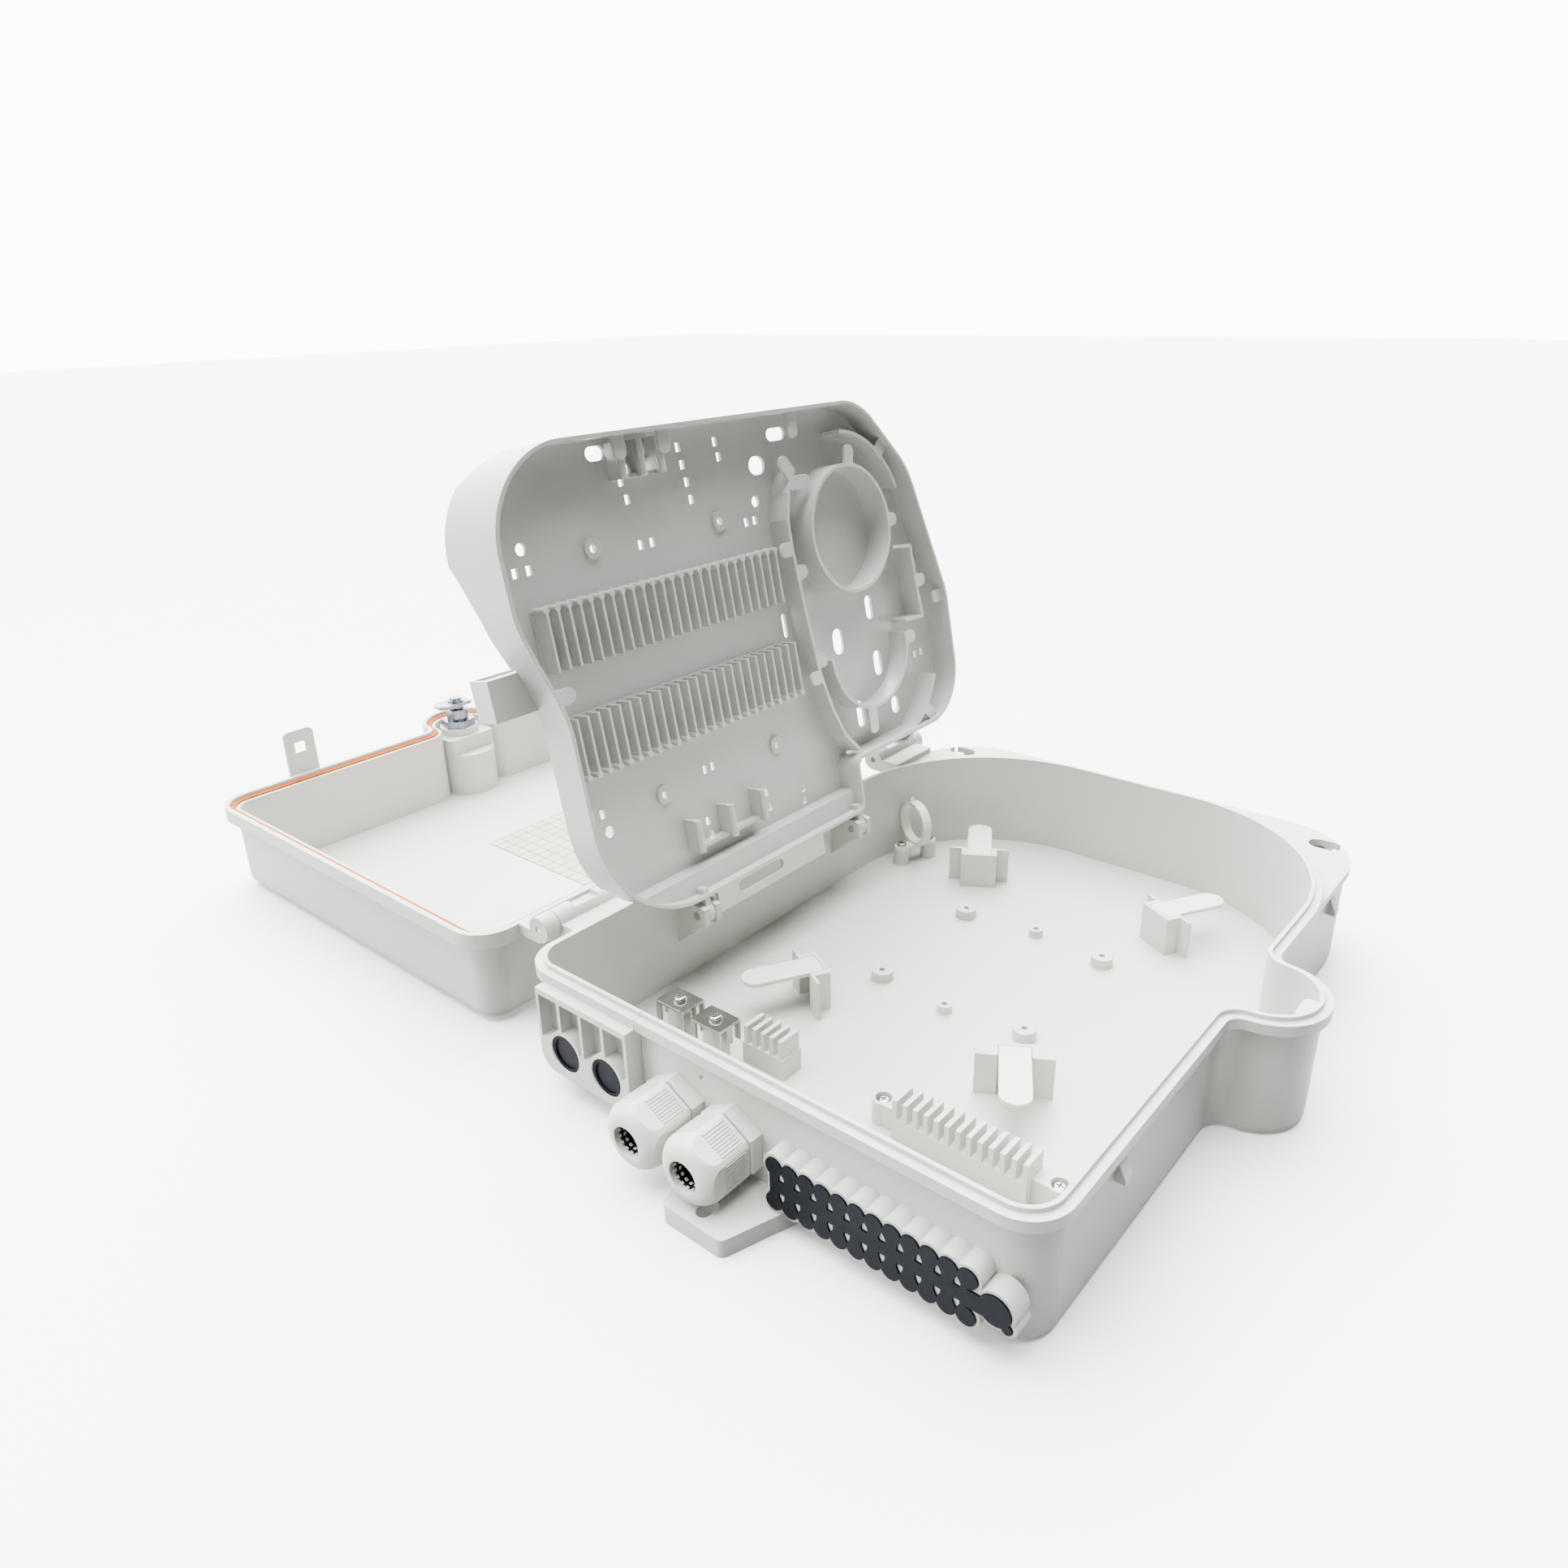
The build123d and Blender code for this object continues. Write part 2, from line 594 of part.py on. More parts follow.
def make_clamp(x, y):
    """Pressed steel clamp plate: a cap with bent fingers that grip the strength member."""
    top = CLAMP_Z
    low = top - CLAMP_T
    cap = Pos(x, y) * Rectangle(CLAMP_X, CLAMP_Y)
    cap = fillet(cap.vertices(), 1.2)
    solid = slab(cap, low, top)
    for sx in (-1, 1):
        for sy in (-1, 1):
            leg_x = x + sx * (CLAMP_X / 2 - 1.6)
            edge = y + sy * (CLAMP_Y / 2 - CLAMP_T / 2)
            solid += box(leg_x - 1.5, leg_x + 1.5, edge - 0.6, edge + 0.6, top - CLAMP_LEG, low + 0.2)
    for sx in (-1, 1):
        edge = x + sx * (CLAMP_X / 2 - CLAMP_T / 2)
        solid += box(edge - 0.6, edge + 0.6, y - 1.6, y + 1.6, top - CLAMP_LEG + 1, low + 0.2)
    return solid - rod(1.8, 5, (x, y, low - 2))


def screw(x, y, seat, head_r=3.3, head_h=2.2, shank=8.0, shank_r=1.3):
    """Pan head screw standing on its seat."""
    head = rod(head_r, head_h, (x, y, seat))
    head = fillet(head.edges().group_by(Axis.Z)[-1], head_h * 0.7)
    for turn in (0, 90):
        head -= Pos(x, y, seat + head_h) * Rot(0, 0, turn) * Box(3.2, 0.8, 1.6)
    return head + rod(shank_r, shank + 0.2, (x, y, seat - shank))


def ring_ends():
    """Where the ring's base bar is screwed down."""
    dx, dy = 10.4 * cos(radians(RING_TURN)), 10.4 * sin(radians(RING_TURN))
    return [(RING_MID[0] - dx, RING_MID[1] - dy), (RING_MID[0] + dx, RING_MID[1] + dy)]


def make_ring():
    """Split cable ring of flat strip on a bar with two screw eyes."""
    bar = Rectangle(20.8, 6.5) + Pos(-10.4, 0) * Circle(4.6) + Pos(10.4, 0) * Circle(4.6)
    solid = slab(bar, 0, 2.4)
    centre = 2.0 + RING_R
    hoop = rod(RING_R, 6.0, (-3.0, 0, centre), "x") - rod(RING_R - 1.9, 8.0, (-4.0, 0, centre), "x")
    gap = Pos(0, 0, centre) * Rot(-28, 0, 0) * box(-5, 5, -0.6, 0.6, RING_R - 5, RING_R + 2)
    solid += hoop - gap
    solid += Pos(0, 0, centre) * Rot(-18, 0, 0) * box(-1.4, 1.4, -1.0, 1.0, RING_R - 0.8, RING_R + 2.6)
    for x in (-10.4, 10.4):
        solid -= rod(1.6, 8, (x, 0, -3))
    return Pos(RING_MID[0], RING_MID[1], RING_Z - 0.5) * Rot(0, 0, RING_TURN) * solid


def closed_cover():
    """The cover as it lies on the base."""
    top = COVER_FRONT
    wall = -COVER_IN
    shell = slab(cavity(wall), COVER_RIM + INNER_SET, top)
    front = shell.edges().group_by(Axis.Z)[-1]
    shell = fillet(front, COVER_R)
    shell += slab(cavity(LIP_OUT), COVER_RIM, COVER_RIM + BAND_H)
    shell -= slab(cavity(wall - COVER_T), COVER_RIM - 1, top - COVER_T)
    shell -= slab(cavity(LIP_OUT - BAND_T), COVER_RIM - 1, COVER_RIM + INNER_SET)
    shell -= slab(cavity(LIP_OUT - BAND_T) - cavity(wall), COVER_RIM - 1, COVER_RIM + CHANNEL_H)
    shelf = LOCK_BOSS_Z + 5.0
    pillar = Pos(PILLAR_X, 0) * Circle(PILLAR_R) + Pos(PILLAR_X + 15, 0) * Rectangle(30, 2 * PILLAR_R)
    pillar = pillar & cavity(wall - 1)
    tray_end = TRAY_X + TRAY_FREE_U + TRAY_CLEAR
    tray_top = TRAY_Z - 5 + TRAY_SKIRT_W + TRAY_CLEAR
    shell += slab(pillar, tray_top, top - COVER_T + 0.5)
    beside_tray = pillar - Pos(tray_end - 50, 0) * Rectangle(100, 100)
    shell += slab(beside_tray, shelf, tray_top + 1)
    shell += rod(14.0, shelf + 1 - LOCK_BOSS_Z, (LOCK_X, 0, LOCK_BOSS_Z))
    shell -= rod(LOCK_BARREL_R + 0.1, 80, (LOCK_X, 0, LOCK_BOSS_Z - 10))
    for side in (-1, 1):
        shell += snap_tab(side)
        shell += knuckle(side)
        y = pad_y(side)
        for x in (-80.0, 92.0):
            shell += box(x - 4.5, x + 4.5, y - 1.5, y + 1.5, top - 0.5, top + PAD_H)
    return shell

def pad_y(side):
    """Where the small feet stand on the cover's front, near each end."""
    return ENTRY_Y + 9.0 if side < 0 else ARC_Y + ARC_R - 26.0


def snap_tab(side):
    """Snap tab hanging from the cover's band on the lock side, with its window."""
    y = side * TAB_Y
    inside = HOOK_OUT + TAB_FIT
    arm_x = HALF_W - 16.0 if side > 0 else HALF_W + 2.0
    solid = box(arm_x, inside + TAB_T, y - TAB_W / 2, y + TAB_W / 2, COVER_RIM, COVER_RIM + 3.5)
    solid -= slab(cavity(LIP_OUT - BAND_T + 0.2), 0, COVER_FRONT)
    low = COVER_RIM - TAB_DROP
    plate = box(inside, inside + TAB_T, y - TAB_W / 2, y + TAB_W / 2, low, COVER_RIM + 3.5)
    solid += fillet(plate.edges().filter_by(Axis.X).group_by(Axis.Z)[0], 4)
    return solid - box(inside - 1, inside + TAB_T + 1, y - 4, y + 4, HOOK_LOW - 0.8, HOOK_LOW + 6.5)

def knuckle(side):
    """Cover's hinge knuckle, outboard of the barrel, with its arm."""
    inner = side * (BARREL_Y0 + BARREL_L + KNUCKLE_GAP)
    y0 = min(inner, inner + side * KNUCKLE_L)
    y1 = y0 + KNUCKLE_L
    solid = rod(BARREL_R, KNUCKLE_L, (HINGE_X, y0, HINGE_Z), "y")
    arm_x = -HALF_W - 1.0 if side < 0 else -HALF_W + 30.0
    arm = box(HINGE_X, arm_x, y0, y1, COVER_RIM, COVER_RIM + BAND_H - 2.5)
    solid += arm - slab(cavity(LIP_OUT - BAND_T + 0.2), 0, COVER_FRONT)
    return solid - rod(PIN_R + PIN_FIT, KNUCKLE_L + 2, (HINGE_X, y0 - 1, HINGE_Z), "y")


def make_gasket():
    """Foamed rubber cord in the cover's channel, closed position."""
    low = BASE_H + 0.3
    ring = cavity(LIP_OUT - BAND_T - 0.05) - cavity(-COVER_IN + 0.05)
    return slab(ring, low, COVER_RIM + CHANNEL_H)


def make_label():
    """Paper port chart stuck inside the cover, closed position."""
    top = COVER_FRONT - COVER_T
    return box(-55.0, 45.0, -56.0, 44.0, top - 0.3, top)


def make_lock_body():
    """Lock cylinder through the cover with its outside flange."""
    solid = rod(LOCK_BARREL_R, COVER_FRONT - CAM_Z - CAM_T - 3.2, (LOCK_X, 0, CAM_Z + CAM_T + 3.2))
    flange = rod(12.0, 2.0, (LOCK_X, 0, COVER_FRONT))
    solid += fillet(flange.edges().group_by(Axis.Z)[-1], 1.2)
    return solid - Pos(LOCK_X, 0, COVER_FRONT + 2) * Box(2.4, 8.5, 3.0)


def make_lock_nut():
    """Thin hexagon nut that pulls the lock against the column."""
    plan = Pos(LOCK_X, 0) * Rot(0, 0, 15) * RegularPolygon(LOCK_AF / 2, 6, major_radius=False)
    solid = slab(plan, LOCK_BOSS_Z - LOCK_NUT_T + 1.5, LOCK_BOSS_Z)
    return solid - rod(LOCK_BARREL_R + 0.02, 20, (LOCK_X, 0, LOCK_BOSS_Z - 12))


def make_cam():
    """Cam plate on the lock's square end, with the spigot that turns it."""
    long_end = Pos(LOCK_X, -CAM_L / 2) * Rectangle(CAM_W, CAM_L)
    long_end = chamfer([v for v in long_end.vertices() if v.Y < -CAM_L + 1], 4.5)
    plan = long_end + Pos(LOCK_X, 4) * Rectangle(CAM_W, 9)
    solid = slab(plan, CAM_Z, CAM_Z + CAM_T)
    solid += rod(5.0, 3.0, (LOCK_X, 0, CAM_Z + CAM_T - 0.1))
    return solid


def make_cam_screw():
    """Screw and washer that hold the cam on."""
    washer = rod(6.0, 1.0, (LOCK_X, 0, CAM_Z - 1.0))
    head = rod(4.4, 2.4, (LOCK_X, 0, CAM_Z - 3.4))
    return washer + fillet(head.edges().group_by(Axis.Z)[0], 1.6)


def tray_plan(grow=0.0):
    """The tray's outline in u and y."""
    points = [(9, -150), (9, 56), (41, 56), (41, 173), (122, 173), (206, 147), (TRAY_FREE_U, 106)]
    points += [(TRAY_FREE_U, -167), (172, -167), (124, -150)]
    radii = [60, 6, 5, 36, 40, 50, 40, 47, 55, 55]
    plan = make_face(Polyline(*points, close=True))
    for (u, y), radius in zip(points, radii):
        corner = [v for v in plan.vertices() if hypot(v.X - u, v.Y - y) < 0.01]
        plan = fillet(corner, radius)
    return offset(plan, amount=grow) if grow else plan


def guide(face, height=GUIDE_H):
    """A guide wall standing on the tray's face."""
    return slab(face, TRAY_PANEL_W - height, TRAY_PANEL_W + 0.5)


def tab(u, y, heading, length=11.0, width=8.0):
    """Round-ended retaining tab level with the guide walls' tops."""
    plan = Rectangle(length, width) + Pos(length / 2, 0) * Circle(width / 2)
    low = TRAY_PANEL_W - GUIDE_H
    return slab(Pos(u, y) * Rot(0, 0, heading) * Pos(length / 2 - 1, 0) * plan, low, low + 1.6)


def arc_wall(centre, radius, start, end):
    """A guide wall that follows part of a circle."""
    u, y = centre
    ring = Circle(radius + GUIDE_T / 2) - Circle(radius - GUIDE_T / 2)
    spread = radius * 3
    a0, a1 = radians(start), radians(end)
    mid = (a0 + a1) / 2
    rays = [(0, 0), (spread * cos(a0), spread * sin(a0)), (spread * cos(mid), spread * sin(mid)),
            (spread * cos(a1), spread * sin(a1))]
    wedge = make_face(Polyline(*rays, close=True))
    return Pos(u, y) * (ring & wedge)


def path_wall(points):
    """A guide wall along a bent line."""
    plan = None
    for (u0, y0), (u1, y1) in zip(points, points[1:]):
        run = hypot(u1 - u0, y1 - y0)
        mid = ((u0 + u1) / 2, (y0 + y1) / 2)
        turn = degrees(atan2(y1 - y0, u1 - u0))
        piece = Pos(*mid) * Rot(0, 0, turn) * Rectangle(run + GUIDE_T * 0.5, GUIDE_T)
        plan = piece if plan is None else plan + piece
    return plan


def tray_shell():
    """Tray moulding without its guides: deep panel, rim, stepped root and waisted skirt."""
    plan = tray_plan()
    inner = tray_plan(-TRAY_T)
    deep = Pos(TRAY_ROOT_U + BIG / 2, 0) * Rectangle(BIG, BIG)
    shallow = Pos(TRAY_ROOT_U + TRAY_T - BIG / 2, 0) * Rectangle(BIG, BIG)
    back = TRAY_PANEL_W + TRAY_T
    solid = slab(plan & deep, 0, back) - slab(inner & deep, -1, TRAY_PANEL_W)
    solid += slab(plan & shallow, 0, TRAY_SHELF_W + TRAY_T) - slab(inner & shallow, -1, TRAY_SHELF_W)
    solid += slab(inner & deep & shallow, TRAY_SHELF_W, back)
    solid -= box(TRAY_ROOT_U - 1, TRAY_ROOT_U + TRAY_T, -110, 50, -1, TRAY_SHELF_W)
    reach = Pos(SKIRT_U + BIG / 2, 0) * Rectangle(BIG, BIG)
    skirt = slab((plan - inner) & reach, back - 0.5, TRAY_SKIRT_W)
    top = TRAY_SKIRT_W + 1
    waist = [(20, top), (20, 23), (60, 20), (100, 20), (150, 21), (176, 25), (196, 36), (203, top)]
    skirt -= on_entry(make_face(Polyline(*waist, close=True)), -175, -80)
    slope = [(234, top), (252, 29), (260, 29), (260, top)]
    skirt -= on_entry(make_face(Polyline(*slope, close=True)), -180, 180)
    return solid + skirt


def tray_openings():
    """Windows and slots through the tray's panel, as (u, y, length, width, turn)."""
    slots = [
        (241, -88, 12, 7, 90), (239, -50, 14, 8, 90), (231, -63, 15, 8, 90), (237, 46, 16, 7, 90),
        (222, 26, 13, 10, 90), (125, 108, 15, 7, 0), (111, 73, 16, 10, 0), (89, 109, 16, 8, 0),
        (58, 121, 11, 8, 0), (62, 84, 17, 7, 0), (40, 68, 12, 8, 0), (131, 27, 14, 3.5, 0),
    ]
    squares = [
        (236, -77), (226, -75), (217, -73), (238, -32), (229, -31), (220, -30), (211, -29), (238, -4), (230, -3),
        (42, -61), (34, -60), (42, -12), (33, -11), (34, 20), (27, 19), (194, -149), (194, -141), (194, -70),
        (194, -62), (193, 10), (193, 17), (70, -56), (70, -50), (71, -137), (70, -130), (85, 150), (85, 157),
    ]
    cuts = None
    for u, y, length, width, turn in slots:
        plan = Pos(u, y) * Rot(0, 0, turn) * SlotOverall(length + 0.01, width)
        cuts = plan if cuts is None else cuts + plan
    for u, y in squares:
        cuts += Pos(u, y) * Rectangle(4.6, 3.4)
    for u, y, radius in ((204, -143, 3.0), (203, 20, 3.0), (60, -128, 3.0), (131, 38, 2.2)):
        cuts += Pos(u, y) * Circle(radius)
    return cuts


def tray_local():
    """The whole tray moulding in its closed frame."""
    solid = tray_shell()
    solid -= slab(tray_openings(), TRAY_PANEL_W - 1, TRAY_PANEL_W + TRAY_T + 1)
    for u, y in ((197.5, -102), (197, -12), (66.5, -88.5), (66.5, 2)):
        solid += rod(5.2, 2.0, (u, y, TRAY_PANEL_W - 1.5))
        solid -= rod(2.2, 12, (u, y, TRAY_PANEL_W - 5))
    ring = Circle(MANDREL_R) - Circle(MANDREL_R - GUIDE_T)
    solid += slab(Pos(*MANDREL) * ring, 0, TRAY_PANEL_W + 0.5)
    solid += guide(arc_wall(U_GUIDE, U_GUIDE_R, 90, 180) + arc_wall(U_GUIDE, U_GUIDE_R, 180, 270))
    solid += guide(arc_wall(MANDREL, 56.0, 5, 72))
    solid += guide(arc_wall(U_GUIDE, 72.0, 118, 163))
    solid += guide(path_wall(DIVIDER))
    solid += guide(path_wall(STRAIGHT))
    solid += tray_tabs()
    solid += splitter_fingers(236, -68, 13)
    solid += splitter_fingers(40, -52, 26)
    solid -= box(129, 151, -180, -117, TRAY_PANEL_W + TRAY_T, TRAY_SKIRT_W + 1)
    for y in BRACKETS:
        solid += bracket(y)
    flange = box(-3.0, 11.0, BRACKETS[0] + 7, 12, 0, TRAY_T)
    window = Pos(5.0, -44) * Rot(0, 0, 90) * SlotOverall(38.0, 7.0)
    return solid + (flange - slab(window, -1, TRAY_T + 1))


def tray_tabs():
    """Retaining tabs along the guides and the rim."""
    places = [
        (248, -83, 180, 9), (248, -53, 180, 9), (248, 46, 180, 12), (214, 39, -35, 9), (209, 38, 90, 13),
        (174, 29, -90, 5), (160, 31, 90, 6), (107, 36, 90, 6), (98, 37, -90, 6), (213, 92, 15, 9),
        (176, 120, 90, 9), (216, 122, 45, 9), (68, 80, 180, 14), (101, 125, 90, 7), (52, 137, 137, 9),
        (134, 144, 90, 7), (135, -152, 90, 9), (120, 171.5, 270, 8),
    ]
    tabs = None
    for u, y, heading, length in places:
        piece = tab(u, y, heading, max(length, 6))
        tabs = piece if tabs is None else tabs + piece
    return tabs & slab(tray_plan(-0.5), 0, TRAY_PANEL_W)


def splitter_fingers(u, y, pitch):
    """Three sprung fingers that hold a small splitter on the panel."""
    low = TRAY_PANEL_W - 11.0
    solid = box(u - 9, u - 7, y - pitch - 1, y + pitch + 1, low + 5, TRAY_PANEL_W + 0.5)
    for i in (-1, 0, 1):
        finger_y = y + i * pitch
        solid += box(u - 9, u + 9, finger_y - 1, finger_y + 1, low, TRAY_PANEL_W + 0.5)
        solid += rod(2.0, 18.0, (u - 9, finger_y, low + 1.2), "x")
    return solid


def bracket(y):
    """Hook-shaped hinge bracket under the tray's root."""
    rim = TRAY_RIM_W
    solid = box(0, 14, y - BRACKET_T / 2, y + BRACKET_T / 2, rim - 4, TRAY_SHELF_W + 1)
    solid += rod(6.0, BRACKET_T, (0, y - BRACKET_T / 2, rim), "y")
    solid -= rod(TRAY_PIN_R + PIN_FIT, BRACKET_T + 2, (0, y - BRACKET_T / 2 - 1, rim), "y")
    return solid - box(-9, 0, y - 5, y + 5, rim - 1.9, rim + 1.9)


def holder_local(low_u, first_y):
    """A row of splice slots: base strip and thin fins, closed frame."""
    last_y = first_y + (FIN_N - 1) * FIN_PITCH
    top = TRAY_PANEL_W
    solid = box(low_u, low_u + FIN_LEN, first_y - 2, last_y + 2, top - HOLDER_T, top)
    end = low_u + FIN_LEN if low_u > 120 else low_u
    for i in range(FIN_N):
        y = first_y + i * FIN_PITCH
        solid += box(low_u, low_u + FIN_LEN, y - FIN_T / 2, y + FIN_T / 2, top - FIN_H, top - HOLDER_T + 0.2)
        solid += rod(1.6, 9.0, (end, y, top - FIN_H))
    return solid


def pocket_local():
    """Open-topped splitter pocket on the tray's back, closed frame."""
    back = TRAY_PANEL_W + TRAY_T
    block = box(130, 150, -176, -118, back, back + 14)
    return block - box(132, 151, -174, -120, back + 5.5, back + 13.0)


def open_cover(shape):
    """Swing a closed cover's piece fully open."""
    return Pos(HINGE_X, 0, HINGE_Z) * Rot(0, 180, 0) * Pos(-HINGE_X, 0, -HINGE_Z) * shape


def raise_tray(shape):
    """Stand a closed tray's piece up."""
    return Pos(TRAY_X, 0, TRAY_Z) * Rot(0, -TRAY_UP, 0) * Pos(0, 0, -TRAY_RIM_W) * shape


def hinge_pins():
    """Steel pins of the two cover hinges."""
    pins = []
    for side in (-1, 1):
        ends = sorted((side * (BARREL_Y0 + 0.5), side * (BARREL_Y0 + BARREL_L + KNUCKLE_L)))
        pins.append(rod(PIN_R, ends[1] - ends[0], (HINGE_X, ends[0], HINGE_Z), "y"))
    return Compound(children=pins)


def tray_pins():
    """Pins of the tray's two hinges."""
    pins = [rod(TRAY_PIN_R, BRACKET_T + 8.6, (TRAY_X, y - BRACKET_T / 2 - 4.3, TRAY_Z), "y") for y in BRACKETS]
    return Compound(children=pins)


def save(name, shape):
    """Write one piece to its own file."""
    export_step(shape, "parts/" + name + ".step")
    print(name, "solids", len(shape.solids()), "volume", round(shape.volume))


def main():
    base, panel_wall = make_base()
    save("base_shell", base)
    save("port_panel", make_port_panel(panel_wall))
    for i, x in enumerate(PLUG_X, 1):
        save("panel_plug_%d" % i, make_plug(x))
    for i, x in enumerate(GLAND_X, 1):
        save("gland_body_%d" % i, make_gland_body(x))
        save("gland_nut_%d" % i, make_gland_nut(x))
        save("gland_seal_%d" % i, make_gland_seal(x))
        save("gland_locknut_%d" % i, make_locknut(x))
    save("drop_port_seal", make_port_seal())
    save("drop_cable_comb", make_drop_comb())
    comb_ears = [(COMB12_X + side * COMB_EAR_X, COMB12_Y + 2) for side in (-1, 1)]
    save("comb_screws", Compound(children=[screw(x, y, 12.0, shank=9.0) for x, y in comb_ears]))
    for i, (x, y) in enumerate(CLAMPS, 1):
        save("strength_clamp_%d" % i, make_clamp(x, y))
    save("clamp_screws", Compound(children=[screw(x, y, CLAMP_Z) for x, y in CLAMPS]))
    save("cable_ring", make_ring())
    save("ring_screws", Compound(children=[screw(x, y, RING_Z + 1.9) for x, y in ring_ends()]))
    for i, place in enumerate(clip_places(), 1):
        save("fibre_clip_%d" % i, place * clip_tongue())
    save("cover_hinge_pins", hinge_pins())
    save("tray_hinge_pins", tray_pins())
    save("cover_shell", open_cover(closed_cover()))
    save("cover_gasket", open_cover(make_gasket()))
    save("port_chart", open_cover(make_label()))
    save("lock_cylinder", open_cover(make_lock_body()))
    save("lock_nut", open_cover(make_lock_nut()))
    save("lock_cam", open_cover(make_cam()))
    save("cam_screw", open_cover(make_cam_screw()))
    save("splice_tray", raise_tray(tray_local()))
    save("splice_holder_upper", raise_tray(holder_local(*ROWS[0])))
    save("splice_holder_lower", raise_tray(holder_local(*ROWS[1])))
    save("splitter_pocket", raise_tray(pocket_local()))


main()
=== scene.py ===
import bmesh
import bpy
from math import cos, pi, radians, sin
from mathutils import Matrix, Vector


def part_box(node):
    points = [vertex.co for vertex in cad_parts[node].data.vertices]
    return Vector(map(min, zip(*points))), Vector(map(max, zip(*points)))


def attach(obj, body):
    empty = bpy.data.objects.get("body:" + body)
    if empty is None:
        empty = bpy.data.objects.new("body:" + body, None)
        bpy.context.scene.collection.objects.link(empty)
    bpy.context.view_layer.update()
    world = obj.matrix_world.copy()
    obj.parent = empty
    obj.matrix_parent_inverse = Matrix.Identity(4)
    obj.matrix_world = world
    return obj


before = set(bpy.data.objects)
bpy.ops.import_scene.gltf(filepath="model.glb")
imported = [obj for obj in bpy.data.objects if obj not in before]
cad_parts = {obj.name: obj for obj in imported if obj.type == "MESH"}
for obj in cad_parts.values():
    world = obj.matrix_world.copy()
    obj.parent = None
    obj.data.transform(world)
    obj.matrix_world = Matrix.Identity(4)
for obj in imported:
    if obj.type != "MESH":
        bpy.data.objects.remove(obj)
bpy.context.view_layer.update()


# The base is one white ABS moulding with a very fine spark-eroded grain inside and out. It is
# screwed to the wall through the two skirted corners and the lug below, and carries the rest.
def abs_plastic(name, colour, tint, rough, grain):
    """Moulded plastic: faint drift of shade, fine grain and softly broken edges."""
    made = bpy.data.materials.new(name)
    made.use_nodes = True
    tree = made.node_tree
    skin = tree.nodes["Principled BSDF"]
    place = tree.nodes.new("ShaderNodeTexCoord")
    drift = tree.nodes.new("ShaderNodeTexNoise")
    drift.inputs["Scale"].default_value = 14.0
    drift.inputs["Detail"].default_value = 3.0
    shade = tree.nodes.new("ShaderNodeValToRGB")
    shade.color_ramp.elements[0].position = 0.3
    shade.color_ramp.elements[0].color = (*tint, 1)
    shade.color_ramp.elements[1].position = 0.7
    shade.color_ramp.elements[1].color = (*colour, 1)
    speckle = tree.nodes.new("ShaderNodeTexNoise")
    speckle.inputs["Scale"].default_value = 1400.0
    speckle.inputs["Detail"].default_value = 2.0
    edge = tree.nodes.new("ShaderNodeBevel")
    edge.samples = 4
    edge.inputs["Radius"].default_value = 0.0005
    relief = tree.nodes.new("ShaderNodeBump")
    relief.inputs["Strength"].default_value = grain
    relief.inputs["Distance"].default_value = 0.0002
    tree.links.new(place.outputs["Object"], drift.inputs["Vector"])
    tree.links.new(place.outputs["Object"], speckle.inputs["Vector"])
    tree.links.new(drift.outputs["Fac"], shade.inputs["Fac"])
    tree.links.new(shade.outputs["Color"], skin.inputs["Base Color"])
    tree.links.new(speckle.outputs["Fac"], relief.inputs["Height"])
    tree.links.new(edge.outputs["Normal"], relief.inputs["Normal"])
    tree.links.new(relief.outputs["Normal"], skin.inputs["Normal"])
    skin.inputs["Roughness"].default_value = rough
    skin.inputs["IOR"].default_value = 1.5
    return made


def finish_in(material, *nodes):
    """Give CAD pieces their material."""
    for node in nodes:
        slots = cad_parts[node].material_slots
        if not slots:
            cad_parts[node].data.materials.append(material)
        for one in slots:
            one.material = material


case_white = abs_plastic("case_white", (0.49, 0.49, 0.458), (0.465, 0.466, 0.437), 0.45, 0.25)
finish_in(case_white, "base_shell", "port_panel", "drop_cable_comb")


# The panel's two round plugs are soft navy rubber. Each is pushed in from outside and keeps a
# raised lip with a shallow cup, so a thicker cable can be cut in later.
def rubber(name, colour, bloom):
    """Moulded rubber with a dusty bloom and a soft sheen."""
    made = bpy.data.materials.new(name)
    made.use_nodes = True
    tree = made.node_tree
    skin = tree.nodes["Principled BSDF"]
    place = tree.nodes.new("ShaderNodeTexCoord")
    dust = tree.nodes.new("ShaderNodeTexNoise")
    dust.inputs["Scale"].default_value = 220.0
    dust.inputs["Detail"].default_value = 5.0
    shade = tree.nodes.new("ShaderNodeValToRGB")
    shade.color_ramp.elements[0].position = 0.42
    shade.color_ramp.elements[0].color = (*colour, 1)
    shade.color_ramp.elements[1].position = 0.75
    shade.color_ramp.elements[1].color = (*bloom, 1)
    relief = tree.nodes.new("ShaderNodeBump")
    relief.inputs["Strength"].default_value = 0.3
    relief.inputs["Distance"].default_value = 0.0002
    tree.links.new(place.outputs["Object"], dust.inputs["Vector"])
    tree.links.new(dust.outputs["Fac"], shade.inputs["Fac"])
    tree.links.new(shade.outputs["Color"], skin.inputs["Base Color"])
    tree.links.new(dust.outputs["Fac"], relief.inputs["Height"])
    tree.links.new(relief.outputs["Normal"], skin.inputs["Normal"])
    skin.inputs["Roughness"].default_value = 0.55
    skin.inputs["Specular IOR Level"].default_value = 0.06
    return made


navy_rubber = rubber("navy_rubber", (0.0012, 0.002, 0.0042), (0.003, 0.0045, 0.008))
finish_in(navy_rubber, "panel_plug_1", "panel_plug_2")


